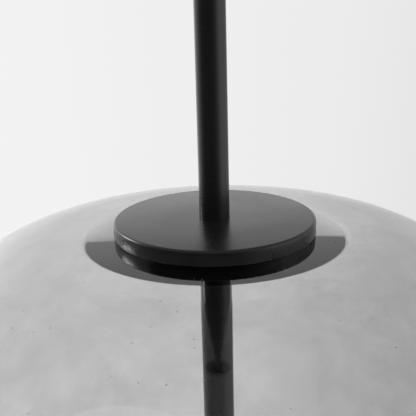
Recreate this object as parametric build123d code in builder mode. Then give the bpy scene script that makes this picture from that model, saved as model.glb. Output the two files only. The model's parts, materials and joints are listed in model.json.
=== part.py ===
from build123d import *

import os
from math import asin, cos, degrees, radians, sin, sqrt, tan

# A floor lamp with a smoked glass globe threaded on a full-height black stem.
# Millimetres, +Z up, origin on the floor under the stem's axis; -Y is the front, the cable leaves at +Y.
# The glass rests on a seat part way up the stem, a plain black disc closes its crown, and
# both slide up the bare upper stem, under its round dimmer knob, to free the light engine.

os.makedirs("parts", exist_ok=True)

# --- Clearances -----------------------------------------------------------------------------------
running_gap = 0.08  # radial, round a piece that slides or turns
fixed_gap = 0.05  # radial, round a piece that is glued, brazed or screwed in
loose_gap = 0.5  # round a casting, a pocket or a cover
face_gap = 0.3  # between a cap's lip and the glass under it

# --- Base -----------------------------------------------------------------------------------------
base_radius = 160.0
base_height = 22.0
cover_wall = 2.0
cover_edge_fillet = 1.5
pad_thickness = 2.0
pad_inset = 9.0  # from the base's edge to the pad's edge
flange_radius = 32.0
flange_thickness = 4.0
cable_well_radius = 15.0
cable_slot_width = 8.0
cable_slot_height = 8.0
cable_slot_lift = 1.0  # of the cable's axis over the middle of its slot
foot_collar_radius = 12.0
foot_collar_height = 7.0
foot_collar_fillet = 1.0

# --- Driver in the base ---------------------------------------------------------------------------
driver_length = 104.0
driver_width = 38.0
driver_height = 12.0
driver_wall = 1.5
driver_lid_thickness = 1.5
driver_board_thickness = 1.6
driver_distance = 76.0  # from the stem's axis to the driver's middle
driver_part_height = 4.5
pocket_plate_thickness = 1.2
pocket_plate_margin = 8.0

# --- Cable inlet ----------------------------------------------------------------------------------
inlet_bore_radius = 3.25
inlet_body_radius = 5.5
inlet_flange_radius = 7.5
inlet_flange_thickness = 2.5
inlet_length = 16.0

# --- Stem -----------------------------------------------------------------------------------------
stem_radius = 7.5
middle_stem_radius = 8.0  # of the length inside the globe, with a heavier wall on the same bore
stem_wall = 1.5
joiner_length = 40.0
joiner_bore_radius = 3.0
cable_radius = 1.8
cable_bend_radius = 11.0

# --- Cap disc on the glass ------------------------------------------------------------------------
cap_top_level = 930.0  # above the floor
cap_radius = 50.0
cap_thickness = 7.0
cap_edge_fillet = 1.0
cap_lip_width = 2.0
cap_recess_depth = 3.0
cap_bush_radius = 13.0
cap_bush_depth = 9.0
cap_spigot_depth = 14.0  # below the recess, for the ring that centres the cap in the glass's opening
cap_spigot_wall = 2.5
cap_spigot_gap = 1.0  # radial, to the glass's opening
cap_ring_radius = 1.0  # section of the ring that grips the stem
gasket_width = 5.0
gasket_inset = 1.0  # from the opening's edge to the gasket

# --- Glass globe ----------------------------------------------------------------------------------
glass_wall = 3.5
crown_radius = 1960.0  # radius of the nearly flat crown
crown_reach = 83.0  # distance from the axis at which the crown turns into the shoulder
shoulder_radius = 78.5
shoulder_slope = 23.4  # degrees, where the shoulder turns into the belly
belly_radius = 150.0
top_opening_radius = 40.0
bottom_opening_radius = 62.0
land_width = 7.0  # flat ground ring round each opening
collar_reach = 65.3  # outer radius of the thick collar that is cemented into the crown
collar_slope = 16.0  # degrees, of the collar's underside

# --- Globe seat -----------------------------------------------------------------------------------
seat_lip_width = 2.5  # beyond the glass's ground ring
seat_thickness = 6.0
seat_edge_fillet = 1.0
seat_spigot_height = 8.0
seat_spigot_gap = 1.5  # radial, between the glass's opening and the spigot that centres it
seat_gasket_thickness = 2.0
seat_collar_radius = 14.0
seat_collar_height = 18.0
grub_radius = 2.5
grub_length = 6.0

# --- Light engine ---------------------------------------------------------------------------------
light_drop = 150.0  # from the cap's top face down to the light engine's top
carrier_flange_radius = 46.0
carrier_flange_thickness = 4.0
carrier_core_half_width = 14.0  # from the axis to a flat of the core
diffuser_radius = 46.0
diffuser_wall = 2.5
diffuser_cap_thickness = 4.0
diffuser_cap_overhang = 1.5
diffuser_cap_spigot = 3.0
board_width = 14.0
board_thickness = 1.6
board_end_gap = 4.0
board_count = 6
chips_per_board = 6
chip_size = 5.0
chip_thickness = 0.9

# --- Dimmer at the stem's top ---------------------------------------------------------------------
knob_radius = 45.0
knob_thickness = 14.0
knob_edge_fillet = 1.5
knob_underside_gap = 0.6
knob_rise_from_cap = 846.0  # from the cap's top face up to the knob's underside
knob_insert_radius = 7.0
knob_insert_depth = 11.0
shaft_radius = 3.0
shaft_seat_depth = 6.0  # of the shaft's foot in the dimmer
top_bush_flange = 1.5
top_bush_length = 14.0
dimmer_length = 24.0
dimmer_gap = 0.4  # radial, between the dimmer and the stem's bore

# --- Screws ---------------------------------------------------------------------------------------
small_screw_radius = 1.5
small_head_radius = 2.8
small_head_height = 1.6
large_screw_radius = 2.5
large_head_radius = 4.5
large_head_height = 2.6
screw_hole_gap = 0.3
socket_share = 0.5  # of the screw's radius and head height, for the hexagon socket
flange_screw_circle = 24.0
flange_screw_bite = 3.0
cover_screw_circle = 132.0
cover_boss_radius = 5.0
cover_boss_height = 6.0
cover_screw_bite = 4.0
screws_per_circle = 3
seat_screw_circle = 32.0
seat_screw_bite = 3.0
cap_screw_circle = 11.0
cap_screw_bite = 8.0
plate_screw_bite = 5.0

# --- Levels and sizes that follow -----------------------------------------------------------------
stem_bore = stem_radius - stem_wall
weight_bottom = pad_thickness
weight_top = base_height - cover_wall
weight_radius = base_radius - cover_wall - loose_gap
stem_foot = weight_top - flange_thickness
cable_level = weight_bottom + cable_slot_height / 2 + cable_slot_lift
inlet_level = (weight_bottom + weight_top) / 2
driver_floor = weight_bottom + pocket_plate_thickness + fixed_gap
driver_top = driver_floor + driver_height
pocket_length = driver_length + 2 * loose_gap
pocket_width = driver_width + 2 * loose_gap
plate_length = pocket_length + 2 * pocket_plate_margin
plate_width = pocket_width + 2 * pocket_plate_margin

cap_bottom = cap_top_level - cap_thickness
recess_floor = cap_bottom + cap_recess_depth
bush_bottom = recess_floor - cap_bush_depth
cap_spigot_bottom = recess_floor - cap_spigot_depth
cap_spigot_radius = top_opening_radius - cap_spigot_gap
cap_bore = stem_radius + running_gap
cap_lip_inner = cap_radius - cap_lip_width
crown_angle = degrees(asin(crown_reach / crown_radius))


def crown_drop(distance):
    # how far the crown has fallen below its highest point at this distance from the axis
    return crown_radius - sqrt(crown_radius**2 - distance**2)


glass_top = cap_bottom - face_gap + crown_drop(cap_lip_inner)
shoulder_centre_x = crown_reach - shoulder_radius * sin(radians(crown_angle))
belly_centre_x = shoulder_centre_x + (shoulder_radius - belly_radius) * sin(radians(shoulder_slope))
shoulder_centre_h = (belly_radius - shoulder_radius) * cos(radians(shoulder_slope))
crown_centre_h = shoulder_centre_h + (shoulder_radius - crown_radius) * cos(radians(crown_angle))
half_height = crown_centre_h + crown_radius
globe_level = glass_top - half_height  # of the widest girth
top_land_radius = top_opening_radius + land_width
bottom_land_radius = bottom_opening_radius + land_width
top_land = glass_top - crown_drop(top_land_radius)
bottom_land = globe_level - half_height + crown_drop(bottom_land_radius)

gasket_inner = top_opening_radius + gasket_inset
seat_top = bottom_land - seat_gasket_thickness
seat_bottom = seat_top - seat_thickness
seat_radius = bottom_land_radius + seat_lip_width
spigot_radius = bottom_opening_radius - seat_spigot_gap
spigot_top = seat_top + seat_spigot_height
seat_collar_bottom = seat_bottom - seat_collar_height
lower_joint_level = seat_bottom - seat_collar_height / 2
upper_joint_level = bush_bottom - face_gap
fixed_bore = stem_radius + fixed_gap
middle_bore = middle_stem_radius + fixed_gap

light_top = cap_top_level - light_drop
carrier_top = spigot_top + carrier_flange_thickness
core_top = light_top - diffuser_cap_thickness
board_bottom = carrier_top + board_end_gap
board_top = core_top - diffuser_cap_spigot - board_end_gap

knob_bottom = cap_top_level + knob_rise_from_cap
stem_top = knob_bottom - knob_underside_gap - top_bush_flange
dimmer_top = stem_top - top_bush_length
dimmer_bottom = dimmer_top - dimmer_length
shaft_top = knob_bottom + knob_insert_depth
shaft_bore = shaft_radius + running_gap


def turned(bottom, top, outer, inner=0.0, mode=Mode.ADD):
    # one turned step about the stem's axis, from one level to another
    with BuildSketch(Plane.XY.offset(bottom)) as section:
        Circle(outer)
        if inner > 0:
            Circle(inner, mode=Mode.SUBTRACT)
    extrude(section.sketch, amount=top - bottom, mode=mode)


def screw(radius, head_radius, head_height, length):
    # one cap screw, its head's underside on the local origin and its shank up +Z
    with BuildPart(mode=Mode.PRIVATE) as body:
        Cylinder(radius, length, align=(Align.CENTER, Align.CENTER, Align.MIN))
        Cylinder(head_radius, head_height, align=(Align.CENTER, Align.CENTER, Align.MAX))
        with BuildSketch(Plane.XY.offset(-head_height)):
            RegularPolygon(radius=head_radius * socket_share, side_count=6)
        extrude(amount=head_height * socket_share, mode=Mode.SUBTRACT)
    return body.part


def finish(piece, name):
    piece.part.label = name
    export_step(piece.part, f"parts/{name}.step")


# === Base =========================================================================================

with BuildPart() as base_pad:
    turned(0, pad_thickness, base_radius - pad_inset)
finish(base_pad, "base_pad")

flange_screw_seat = weight_bottom + large_head_height + fixed_gap
cover_boss_bottom = weight_top - cover_boss_height
cover_screw_seat = weight_bottom + large_head_height + fixed_gap

with BuildPart() as base_weight:
    turned(weight_bottom, weight_top, weight_radius)
    # recess for the stem's flange, and the well under it where the cable turns up
    turned(stem_foot, weight_top, flange_radius + loose_gap, mode=Mode.SUBTRACT)
    turned(weight_bottom, stem_foot, cable_well_radius, mode=Mode.SUBTRACT)
    # driver pocket with a rebate for its plate, open downwards
    with BuildSketch(Plane.XY.offset(weight_bottom)):
        with Locations((0, driver_distance)):
            Rectangle(pocket_length, pocket_width)
    extrude(amount=driver_top + loose_gap - weight_bottom, mode=Mode.SUBTRACT)
    with BuildSketch(Plane.XY.offset(weight_bottom)):
        with Locations((0, driver_distance)):
            Rectangle(plate_length + 2 * fixed_gap, plate_width + 2 * fixed_gap)
    extrude(amount=pocket_plate_thickness, mode=Mode.SUBTRACT)
    # slot for the cable between the pocket and the well
    with BuildSketch(Plane.XY.offset(weight_bottom)):
        with Locations((0, driver_distance / 2)):
            Rectangle(cable_slot_width, driver_distance)
    extrude(amount=cable_slot_height, mode=Mode.SUBTRACT)
    # bore for the cable inlet, from the pocket out to the rim
    with BuildSketch(Plane.XZ.offset(-driver_distance - pocket_width / 2)):
        with Locations((0, inlet_level)):
            Circle(inlet_body_radius + fixed_gap)
    extrude(amount=-base_radius, mode=Mode.SUBTRACT)
    # counterbored holes for the screws that hold the flange and the cover
    with Locations(Plane.XY.offset(weight_bottom)):
        with PolarLocations(flange_screw_circle, screws_per_circle, start_angle=-90):
            Cylinder(
                large_screw_radius + screw_hole_gap,
                stem_foot - weight_bottom,
                align=(Align.CENTER, Align.CENTER, Align.MIN),
                mode=Mode.SUBTRACT,
            )
            Cylinder(
                large_head_radius + screw_hole_gap,
                flange_screw_seat - weight_bottom,
                align=(Align.CENTER, Align.CENTER, Align.MIN),
                mode=Mode.SUBTRACT,
            )
        with PolarLocations(cover_screw_circle, screws_per_circle, start_angle=-90):
            Cylinder(
                large_screw_radius + screw_hole_gap,
                weight_top - weight_bottom,
                align=(Align.CENTER, Align.CENTER, Align.MIN),
                mode=Mode.SUBTRACT,
            )
            Cylinder(
                large_head_radius + screw_hole_gap,
                cover_screw_seat - weight_bottom,
                align=(Align.CENTER, Align.CENTER, Align.MIN),
                mode=Mode.SUBTRACT,
            )
    with Locations(Plane.XY.offset(weight_top)):
        with PolarLocations(cover_screw_circle, screws_per_circle, start_angle=-90):
            Cylinder(
                cover_boss_radius + screw_hole_gap,
                cover_boss_height,
                align=(Align.CENTER, Align.CENTER, Align.MAX),
                mode=Mode.SUBTRACT,
            )
    # threaded holes for the pocket plate's screws
    with Locations(Plane.XY.offset(weight_bottom + pocket_plate_thickness)):
        with Locations((0, driver_distance)):
            with GridLocations(plate_length - pocket_plate_margin, plate_width - pocket_plate_margin, 2, 2):
                Cylinder(
                    small_screw_radius + fixed_gap,
                    plate_screw_bite,
                    align=(Align.CENTER, Align.CENTER, Align.MIN),
                    mode=Mode.SUBTRACT,
                )
finish(base_weight, "base_weight")

with BuildPart() as base_cover:
    turned(weight_bottom, base_height, base_radius)
    fillet(base_cover.edges().group_by(Axis.Z)[-1], cover_edge_fillet)
    turned(weight_bottom, weight_top, base_radius - cover_wall, mode=Mode.SUBTRACT)
    turned(weight_top, base_height, stem_radius + screw_hole_gap, mode=Mode.SUBTRACT)
    # threaded bosses that the cover screws bite in
    with Locations(Plane.XY.offset(weight_top)):
        with PolarLocations(cover_screw_circle, screws_per_circle, start_angle=-90):
            Cylinder(cover_boss_radius, cover_boss_height, align=(Align.CENTER, Align.CENTER, Align.MAX))
    with Locations(Plane.XY.offset(cover_boss_bottom)):
        with PolarLocations(cover_screw_circle, screws_per_circle, start_angle=-90):
            Cylinder(
                large_screw_radius + fixed_gap,
                cover_screw_bite + loose_gap,
                align=(Align.CENTER, Align.CENTER, Align.MIN),
                mode=Mode.SUBTRACT,
            )
    # hole in the rim for the cable inlet
    with BuildSketch(Plane.XZ.offset(-driver_distance)):
        with Locations((0, inlet_level)):
            Circle(inlet_body_radius + fixed_gap)
    extrude(amount=-base_radius, mode=Mode.SUBTRACT)
finish(base_cover, "base_cover")

with BuildPart() as cover_screws:
    with Locations(Plane.XY.offset(cover_screw_seat)):
        with PolarLocations(cover_screw_circle, screws_per_circle, start_angle=-90):
            add(
                screw(
                    large_screw_radius,
                    large_head_radius,
                    large_head_height,
                    cover_boss_bottom - cover_screw_seat + cover_screw_bite,
                )
            )
finish(cover_screws, "cover_screws")

with BuildPart() as stem_flange:
    turned(stem_foot, weight_top, flange_radius, stem_radius + fixed_gap)
    with Locations(Plane.XY.offset(stem_foot)):
        with PolarLocations(flange_screw_circle, screws_per_circle, start_angle=-90):
            Cylinder(
                large_screw_radius + fixed_gap,
                flange_screw_bite + fixed_gap,
                align=(Align.CENTER, Align.CENTER, Align.MIN),
                mode=Mode.SUBTRACT,
            )
finish(stem_flange, "stem_flange")

with BuildPart() as flange_screws:
    with Locations(Plane.XY.offset(flange_screw_seat)):
        with PolarLocations(flange_screw_circle, screws_per_circle, start_angle=-90):
            add(
                screw(
                    large_screw_radius,
                    large_head_radius,
                    large_head_height,
                    stem_foot - flange_screw_seat + flange_screw_bite,
                )
            )
finish(flange_screws, "flange_screws")

with BuildPart() as foot_collar:
    turned(base_height, base_height + foot_collar_height, foot_collar_radius)
    fillet(foot_collar.edges().group_by(Axis.Z)[-1], foot_collar_fillet)
    turned(base_height, base_height + foot_collar_height, stem_radius + fixed_gap, mode=Mode.SUBTRACT)
finish(foot_collar, "foot_collar")

# The inlet is a bush pushed in from behind; its flange hugs the rim's curved outside.
inlet_face = base_radius + inlet_flange_thickness
with BuildPart() as cable_inlet:
    with BuildSketch(Plane.XZ.offset(-inlet_face)):
        with Locations((0, inlet_level)):
            Circle(inlet_flange_radius)
    extrude(amount=inlet_flange_thickness * 2)
    turned(weight_bottom, base_height, base_radius + fixed_gap, mode=Mode.SUBTRACT)
    with BuildSketch(Plane.XZ.offset(-inlet_face)):
        with Locations((0, inlet_level)):
            Circle(inlet_body_radius)
    extrude(amount=inlet_length)
    with BuildSketch(Plane.XZ.offset(-inlet_face)):
        with Locations((0, inlet_level)):
            Circle(inlet_bore_radius)
    extrude(amount=inlet_length, mode=Mode.SUBTRACT)
finish(cable_inlet, "cable_inlet")

# === Driver =======================================================================================

driver_base_top = driver_top - driver_lid_thickness
driver_plane = Plane.XY.offset(driver_floor)

with BuildPart() as driver_case:
    with BuildSketch(driver_plane):
        with Locations((0, driver_distance)):
            RectangleRounded(driver_length, driver_width, driver_wall)
    extrude(amount=driver_base_top - driver_floor)
    with BuildSketch(Plane.XY.offset(driver_floor + driver_wall)):
        with Locations((0, driver_distance)):
            Rectangle(driver_length - 2 * driver_wall, driver_width - 2 * driver_wall)
    extrude(amount=driver_height, mode=Mode.SUBTRACT)
    # way out for the cable, on the side that faces the stem
    with BuildSketch(Plane.XZ.offset(-driver_distance)):
        with Locations((0, cable_level)):
            Circle(cable_radius + screw_hole_gap)
    extrude(amount=driver_width, mode=Mode.SUBTRACT)
finish(driver_case, "driver_case")

with BuildPart() as driver_lid:
    with BuildSketch(Plane.XY.offset(driver_base_top)):
        with Locations((0, driver_distance)):
            RectangleRounded(driver_length, driver_width, driver_wall)
    extrude(amount=driver_lid_thickness)
finish(driver_lid, "driver_lid")

board_floor = driver_floor + driver_wall
with BuildPart() as driver_board:
    with BuildSketch(Plane.XY.offset(board_floor)):
        with Locations((0, driver_distance)):
            Rectangle(
                driver_length - 2 * driver_wall - 2 * loose_gap,
                driver_width - 2 * driver_wall - 2 * loose_gap,
            )
    extrude(amount=driver_board_thickness)
    # transformer, two capacitors and a choke, kept clear of the cable
    with BuildSketch(Plane.XY.offset(board_floor + driver_board_thickness)):
        with Locations((-driver_length / 4, driver_distance)):
            Rectangle(driver_width / 2, driver_width / 2)
        with Locations((driver_length / 4, driver_distance)):
            with GridLocations(driver_width / 3, driver_width / 3, 2, 2):
                Circle(driver_width / 9)
    extrude(amount=driver_part_height)
finish(driver_board, "driver_board")

with BuildPart() as pocket_plate:
    with BuildSketch(Plane.XY.offset(weight_bottom)):
        with Locations((0, driver_distance)):
            Rectangle(plate_length, plate_width)
            with GridLocations(plate_length - pocket_plate_margin, plate_width - pocket_plate_margin, 2, 2):
                Circle(small_screw_radius + screw_hole_gap, mode=Mode.SUBTRACT)
        # notch over the cable's slot, so that the plate stays off the well
        Circle(cable_well_radius + loose_gap, mode=Mode.SUBTRACT)
    extrude(amount=pocket_plate_thickness)
finish(pocket_plate, "pocket_plate")

with BuildPart() as plate_screws:
    with Locations(Plane.XY.offset(weight_bottom)):
        with Locations((0, driver_distance)):
            with GridLocations(plate_length - pocket_plate_margin, plate_width - pocket_plate_margin, 2, 2):
                Cylinder(
                    small_screw_radius,
                    pocket_plate_thickness + plate_screw_bite - loose_gap,
                    align=(Align.CENTER, Align.CENTER, Align.MIN),
                )
finish(plate_screws, "plate_screws")

# === Stem =========================================================================================


def stem_tube(bottom, top, outer):
    # one length of the stem's tube
    turned(bottom, top, outer, stem_bore)


with BuildPart() as lower_stem:
    stem_tube(stem_foot, lower_joint_level, stem_radius)
finish(lower_stem, "lower_stem")

with BuildPart() as middle_stem:
    stem_tube(lower_joint_level, upper_joint_level, middle_stem_radius)
finish(middle_stem, "middle_stem")

with BuildPart() as upper_stem:
    stem_tube(upper_joint_level, stem_top, stem_radius)
finish(upper_stem, "upper_stem")

joiner_levels = {"lower_joiner": lower_joint_level, "upper_joiner": upper_joint_level}
for joiner_name, level in joiner_levels.items():
    with BuildPart() as joiner:
        turned(
            level - joiner_length / 2,
            level + joiner_length / 2,
            stem_bore - fixed_gap,
            joiner_bore_radius,
        )
    finish(joiner, joiner_name)

# The cable leaves the driver level with its slot, turns up in the well and runs up the stem's bore.
cable_start = driver_distance - driver_width / 2 + driver_wall
with BuildPart() as inner_cable:
    with BuildLine(Plane.YZ) as cable_route:
        FilletPolyline(
            (cable_start, cable_level),
            (0, cable_level),
            (0, dimmer_bottom),
            radius=cable_bend_radius,
        )
    with BuildSketch(Plane.XZ.offset(-cable_start)):
        with Locations((0, cable_level)):
            Circle(cable_radius)
    sweep()
finish(inner_cable, "inner_cable")

# === Globe seat ===================================================================================

seat_screw_seat = seat_bottom + large_head_height
with BuildPart() as seat_plate:
    turned(seat_bottom, seat_top, seat_radius)
    fillet(seat_plate.edges().group_by(Axis.Z)[0], seat_edge_fillet)
    turned(seat_top, spigot_top, spigot_radius)
    turned(seat_bottom, spigot_top, middle_bore, mode=Mode.SUBTRACT)
    with Locations(Plane.XY.offset(seat_bottom)):
        with PolarLocations(seat_screw_circle, screws_per_circle, start_angle=-90):
            Cylinder(
                large_screw_radius + screw_hole_gap,
                spigot_top - seat_bottom,
                align=(Align.CENTER, Align.CENTER, Align.MIN),
                mode=Mode.SUBTRACT,
            )
            Cylinder(
                large_head_radius + screw_hole_gap,
                large_head_height,
                align=(Align.CENTER, Align.CENTER, Align.MIN),
                mode=Mode.SUBTRACT,
            )
finish(seat_plate, "seat_plate")

with BuildPart() as seat_gasket:
    turned(
        seat_top,
        bottom_land,
        bottom_land_radius - gasket_inset,
        bottom_land_radius - gasket_inset - gasket_width,
    )
finish(seat_gasket, "seat_gasket")

grub_level = seat_bottom - seat_collar_height / 4
with BuildPart() as seat_collar:
    turned(seat_collar_bottom, seat_bottom, seat_collar_radius)
    fillet(seat_collar.edges().group_by(Axis.Z)[0], seat_edge_fillet)
    turned(seat_collar_bottom, seat_bottom, fixed_bore, mode=Mode.SUBTRACT)
    turned(lower_joint_level, seat_bottom, middle_bore, mode=Mode.SUBTRACT)
    with BuildSketch(Plane.XZ):
        with Locations((0, grub_level)):
            Circle(grub_radius + fixed_gap)
    extrude(amount=-seat_collar_radius, mode=Mode.SUBTRACT)
finish(seat_collar, "seat_collar")

with BuildPart() as collar_grub:
    with BuildSketch(Plane.XZ.offset(-middle_stem_radius)):
        with Locations((0, grub_level)):
            Circle(grub_radius)
    extrude(amount=-grub_length)
    with BuildSketch(Plane.XZ.offset(-middle_stem_radius - grub_length)):
        with Locations((0, grub_level)):
            RegularPolygon(radius=grub_radius * socket_share, side_count=6)
    extrude(amount=grub_length * socket_share, mode=Mode.SUBTRACT)
finish(collar_grub, "collar_grub")

# === Light engine =================================================================================

with BuildPart() as light_carrier:
    turned(spigot_top, carrier_top, carrier_flange_radius)
    with BuildSketch(Plane.XY.offset(carrier_top)):
        RegularPolygon(radius=carrier_core_half_width, side_count=board_count, major_radius=False)
    extrude(amount=core_top - carrier_top)
    turned(spigot_top, core_top, middle_bore, mode=Mode.SUBTRACT)
    with Locations(Plane.XY.offset(spigot_top)):
        with PolarLocations(seat_screw_circle, screws_per_circle, start_angle=-90):
            Cylinder(
                large_screw_radius + fixed_gap,
                seat_screw_bite + fixed_gap,
                align=(Align.CENTER, Align.CENTER, Align.MIN),
                mode=Mode.SUBTRACT,
            )
    with Locations(Plane.XY.offset(core_top)):
        with PolarLocations(cap_screw_circle, screws_per_circle, start_angle=-90):
            Cylinder(
                small_screw_radius + fixed_gap,
                cap_screw_bite + loose_gap,
                align=(Align.CENTER, Align.CENTER, Align.MAX),
                mode=Mode.SUBTRACT,
            )
finish(light_carrier, "light_carrier")

with BuildPart() as seat_screws:
    with Locations(Plane.XY.offset(seat_screw_seat)):
        with PolarLocations(seat_screw_circle, screws_per_circle, start_angle=-90):
            add(
                screw(
                    large_screw_radius,
                    large_head_radius,
                    large_head_height,
                    spigot_top - seat_screw_seat + seat_screw_bite,
                )
            )
finish(seat_screws, "seat_screws")

with BuildPart() as led_boards:
    with Locations(Plane.XY.offset(board_bottom)):
        with PolarLocations(carrier_core_half_width, board_count, start_angle=30):
            Box(
                board_thickness,
                board_width,
                board_top - board_bottom,
                align=(Align.MIN, Align.CENTER, Align.MIN),
            )
finish(led_boards, "led_boards")

chip_pitch = (board_top - board_bottom) / chips_per_board
with BuildPart() as led_chips:
    for row in range(chips_per_board):
        with Locations(Plane.XY.offset(board_bottom + (row + 0.5) * chip_pitch)):
            with PolarLocations(carrier_core_half_width + board_thickness, board_count, start_angle=30):
                Box(chip_thickness, chip_size, chip_size, align=(Align.MIN, Align.CENTER, Align.CENTER))
finish(led_chips, "led_chips")

with BuildPart() as diffuser:
    turned(carrier_top, core_top, diffuser_radius, diffuser_radius - diffuser_wall)
finish(diffuser, "diffuser")

with BuildPart() as diffuser_cap:
    turned(core_top, light_top, diffuser_radius + diffuser_cap_overhang)
    fillet(diffuser_cap.edges().group_by(Axis.Z)[-1], cap_edge_fillet)
    # a rim that centres the diffuser's top
    turned(
        core_top - diffuser_cap_spigot,
        core_top,
        diffuser_radius - diffuser_wall - fixed_gap,
        diffuser_radius - 2 * diffuser_wall,
    )
    turned(core_top, light_top, middle_bore, mode=Mode.SUBTRACT)
    with Locations(Plane.XY.offset(core_top)):
        with PolarLocations(cap_screw_circle, screws_per_circle, start_angle=-90):
            Cylinder(
                small_screw_radius + screw_hole_gap,
                diffuser_cap_thickness,
                align=(Align.CENTER, Align.CENTER, Align.MIN),
                mode=Mode.SUBTRACT,
            )
finish(diffuser_cap, "diffuser_cap")

with BuildPart() as diffuser_screws:
    with Locations(Plane.XY.offset(light_top).rotated((180, 0, 0))):
        with PolarLocations(cap_screw_circle, screws_per_circle, start_angle=90):
            add(
                screw(
                    small_screw_radius,
                    small_head_radius,
                    small_head_height,
                    diffuser_cap_thickness + cap_screw_bite,
                )
            )
finish(diffuser_screws, "diffuser_screws")

# === Glass globe ==================================================================================


def on_arc(centre_x, centre_h, radius, slope, side):
    # a point of the glass's outline, where the outline slopes by so many degrees; side is 1 above
    # the girth and -1 below it
    return (
        centre_x + radius * sin(radians(slope)),
        globe_level + side * (centre_h + radius * cos(radians(slope))),
    )


def glass_side(depth, opening, side):
    # the outline from the girth to an opening, at this depth under the glass's outer face, as arcs
    crown = crown_radius - depth
    opening_slope = degrees(asin(opening / crown))
    arcs = (
        (belly_centre_x, 0.0, belly_radius - depth, 90.0, shoulder_slope),
        (shoulder_centre_x, shoulder_centre_h, shoulder_radius - depth, shoulder_slope, crown_angle),
        (0.0, crown_centre_h, crown, crown_angle, opening_slope),
    )
    for centre_x, centre_h, radius, start, end in arcs:
        ThreePointArc(
            on_arc(centre_x, centre_h, radius, start, side),
            on_arc(centre_x, centre_h, radius, (start + end) / 2, side),
            on_arc(centre_x, centre_h, radius, end, side),
        )


def crown_level(distance, depth):
    # level of the upper crown at this distance from the axis and this depth under its outer face
    return globe_level + crown_centre_h + sqrt((crown_radius - depth) ** 2 - distance**2)


inner_crown = crown_radius - glass_wall
bottom_wall_top = globe_level - crown_centre_h - sqrt(inner_crown**2 - bottom_opening_radius**2)
with BuildPart() as glass_globe:
    with BuildSketch(Plane.XZ) as glass_section:
        with BuildLine() as glass_outline:
            glass_side(0.0, collar_reach, 1)
            Line(
                (collar_reach, crown_level(collar_reach, 0.0)),
                (collar_reach, crown_level(collar_reach, glass_wall)),
            )
            glass_side(glass_wall, collar_reach, 1)
            glass_side(glass_wall, bottom_opening_radius, -1)
            Polyline(
                (bottom_opening_radius, bottom_wall_top),
                (bottom_opening_radius, bottom_land),
                (bottom_land_radius, bottom_land),
            )
            glass_side(0.0, bottom_land_radius, -1)
        make_face()
    revolve(axis=Axis.Z)
finish(glass_globe, "glass_globe")

# The collar is a ring of the same glass that carries on the crown and thickens towards the opening.
collar_rim = collar_reach - fixed_gap
collar_middle = (top_land_radius + collar_rim) / 2
collar_wall_bottom = crown_level(collar_rim, glass_wall)
collar_bottom = collar_wall_bottom - (collar_rim - top_opening_radius) * tan(radians(collar_slope))
with BuildPart() as glass_collar:
    with BuildSketch(Plane.XZ) as collar_section:
        with BuildLine() as collar_outline:
            ThreePointArc(
                (top_land_radius, top_land),
                (collar_middle, crown_level(collar_middle, 0.0)),
                (collar_rim, crown_level(collar_rim, 0.0)),
            )
            Polyline(
                (collar_rim, crown_level(collar_rim, 0.0)),
                (collar_rim, collar_wall_bottom),
                (top_opening_radius, collar_bottom),
                (top_opening_radius, top_land),
                (top_land_radius, top_land),
            )
        make_face()
    revolve(axis=Axis.Z)
finish(glass_collar, "glass_collar")

# === Cap disc =====================================================================================

ring_level = (recess_floor + bush_bottom) / 2
ring_outer = cap_bore + 2 * cap_ring_radius

with BuildPart() as cap_disc:
    turned(cap_bottom, cap_top_level, cap_radius)
    fillet(cap_disc.edges().group_by(Axis.Z)[-1], cap_edge_fillet)
    turned(cap_bottom, recess_floor, cap_lip_inner, mode=Mode.SUBTRACT)
    turned(bush_bottom, recess_floor, cap_bush_radius)
    turned(cap_spigot_bottom, recess_floor, cap_spigot_radius, cap_spigot_radius - cap_spigot_wall)
    turned(bush_bottom, cap_top_level, cap_bore, mode=Mode.SUBTRACT)
    # groove for the ring that grips the stem
    turned(ring_level - cap_ring_radius, ring_level + cap_ring_radius, ring_outer, mode=Mode.SUBTRACT)
finish(cap_disc, "cap_disc")

with BuildPart() as cap_ring:
    turned(
        ring_level - cap_ring_radius,
        ring_level + cap_ring_radius,
        ring_outer - fixed_gap,
        stem_radius + fixed_gap,
    )
finish(cap_ring, "cap_ring")

with BuildPart() as cap_gasket:
    turned(top_land, recess_floor, gasket_inner + gasket_width, gasket_inner)
finish(cap_gasket, "cap_gasket")

# === Dimmer =======================================================================================

with BuildPart() as dimmer:
    turned(dimmer_bottom, dimmer_top, stem_bore - dimmer_gap)
    turned(dimmer_top - shaft_seat_depth, dimmer_top, shaft_bore, mode=Mode.SUBTRACT)
finish(dimmer, "dimmer")

with BuildPart() as top_bush:
    turned(dimmer_top, stem_top, stem_bore - fixed_gap)
    turned(stem_top, stem_top + top_bush_flange, stem_radius)
    turned(dimmer_top, stem_top + top_bush_flange, shaft_bore, mode=Mode.SUBTRACT)
finish(top_bush, "top_bush")

with BuildPart() as knob_shaft:
    turned(dimmer_top - shaft_seat_depth + face_gap, shaft_top, shaft_radius)
finish(knob_shaft, "knob_shaft")

with BuildPart() as knob_insert:
    turned(knob_bottom, shaft_top, knob_insert_radius, shaft_radius + fixed_gap)
finish(knob_insert, "knob_insert")

with BuildPart() as dimmer_knob:
    turned(knob_bottom, knob_bottom + knob_thickness, knob_radius)
    fillet(dimmer_knob.edges().filter_by(GeomType.CIRCLE), knob_edge_fillet)
    turned(knob_bottom, shaft_top, knob_insert_radius + fixed_gap, mode=Mode.SUBTRACT)
finish(dimmer_knob, "dimmer_knob")

print(f"globe {2 * (belly_centre_x + belly_radius):.1f} wide, {2 * half_height:.1f} high")
print(f"glass from {bottom_land:.2f} to {top_land:.2f}, light engine {spigot_top:.2f} to {light_top:.2f}")
print(f"overall height {knob_bottom + knob_thickness:.1f}")
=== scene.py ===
import json
from math import asin, cos, degrees, pi, radians, sin, sqrt, tan

import bpy
from mathutils import Matrix, Vector


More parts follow.
